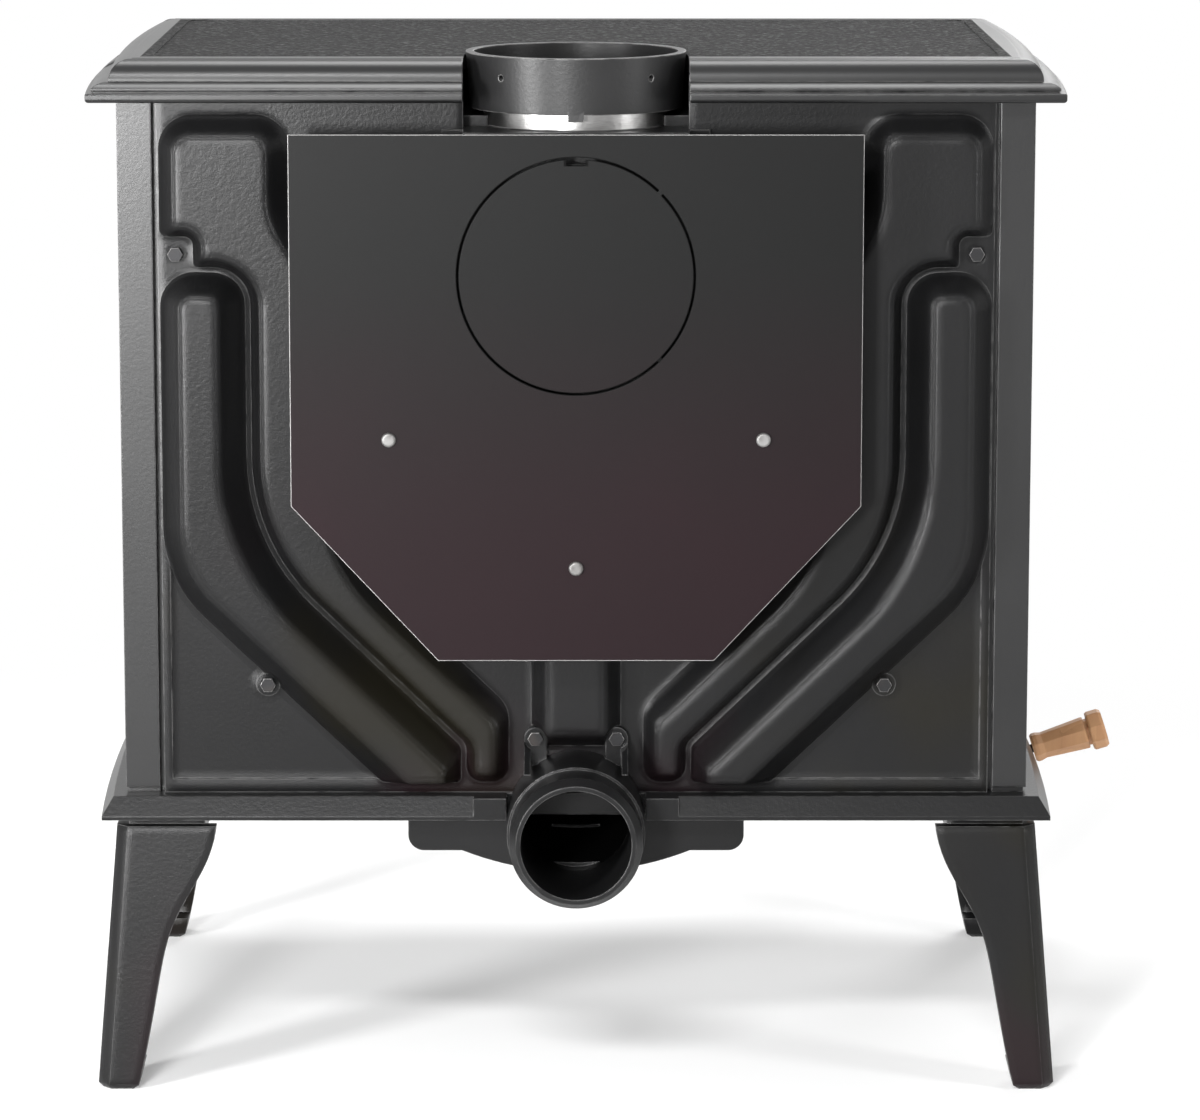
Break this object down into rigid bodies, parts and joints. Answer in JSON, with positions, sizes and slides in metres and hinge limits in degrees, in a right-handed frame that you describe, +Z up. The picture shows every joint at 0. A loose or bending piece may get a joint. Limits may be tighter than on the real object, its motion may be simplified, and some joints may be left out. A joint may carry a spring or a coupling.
{
  "type": "cast iron wood stove",
  "caption": "Free-standing cast iron wood stove on splayed legs, with a moulded top, rear air ducts and heat shield, a top flue collar, an outside-air spigot and a glazed front door.",
  "frame": {"origin": "on the floor, at the middle of the whole stove's width and depth", "axes": "+Z up along the flue, -Y towards the door, +Y towards the wall behind, +X to the door's latch side"},
  "size_m": [0.8098, 0.583, 0.789],
  "materials": {
    "iron": "satin black stove paint",
    "sheet": "matt black sheet",
    "steel": "dark steel",
    "wood": "oiled wood",
    "glass": "ceramic glass",
    "rope_seal": "fibre rope",
    "firebrick": "light firebrick"
  },
  "bodies": {
    "stove": {"top_plate": "iron", "base_plate": "iron", "rear_plate": "iron", "front_frame": "iron", "flue_collar": "iron", "flue_gasket": "rope_seal", "flue_box": "iron", "flue_box_bolts": "steel", "flue_blank": "iron", "flue_blank_bolts": "steel", "rear_shield": "sheet", "shield_spacers": "steel", "shield_screws": "steel", "rear_bolts": "steel", "air_inlet": "iron", "inlet_bolts": "steel", "air_box": "iron", "tie_rods": "steel", "leg_bolts": "steel", "hearth_plate": "iron", "fireback": "iron", "inner_top": "iron", "rear_bricks": "firebrick", "floor_bricks": "firebrick", "secondary_tubes": "steel", "baffle_boards": "firebrick", "log_guard": "iron", "hinge_pins": "steel", "latch_keeper": "steel", "ash_lip": "iron", "ash_lip_screws": "steel", "side_panel_right": "iron", "side_panel_left": "iron", "side_liner_right": "iron", "side_liner_left": "iron", "side_bricks_right": "firebrick", "side_bricks_left": "firebrick", "tube_rail_right": "steel", "tube_rail_left": "steel", "leg_rear_right": "iron", "leg_rear_left": "iron", "leg_front_right": "iron", "leg_front_left": "iron"},
    "door": {"door_frame": "iron", "door_glass": "glass", "glass_gasket": "rope_seal", "glass_clips": "steel", "clip_screws": "steel", "door_gasket": "rope_seal"},
    "latch": {"latch_spindle": "steel", "latch_cam": "steel", "door_handle": "iron", "door_grip": "wood"},
    "air_control": {"air_rod": "steel", "air_grip": "wood", "air_shutter": "steel"}
  },
  "joints": [
    {"name": "door_hinge", "type": "hinge", "parent": "stove", "child": "door", "pos_m": [-0.2251, -0.2445, 0.5025], "axis": [0, 0, -1], "range_deg": [0, 110]},
    {"name": "door_latch", "type": "hinge", "parent": "door", "child": "latch", "pos_m": [0.2409, -0.2515, 0.5025], "axis": [0, -1, 0], "range_deg": [0, 85]},
    {"name": "air_slide", "type": "slide", "parent": "stove", "child": "air_control", "axis": [-1, 0, 0], "range_m": [0, 0.045]}
  ]
}
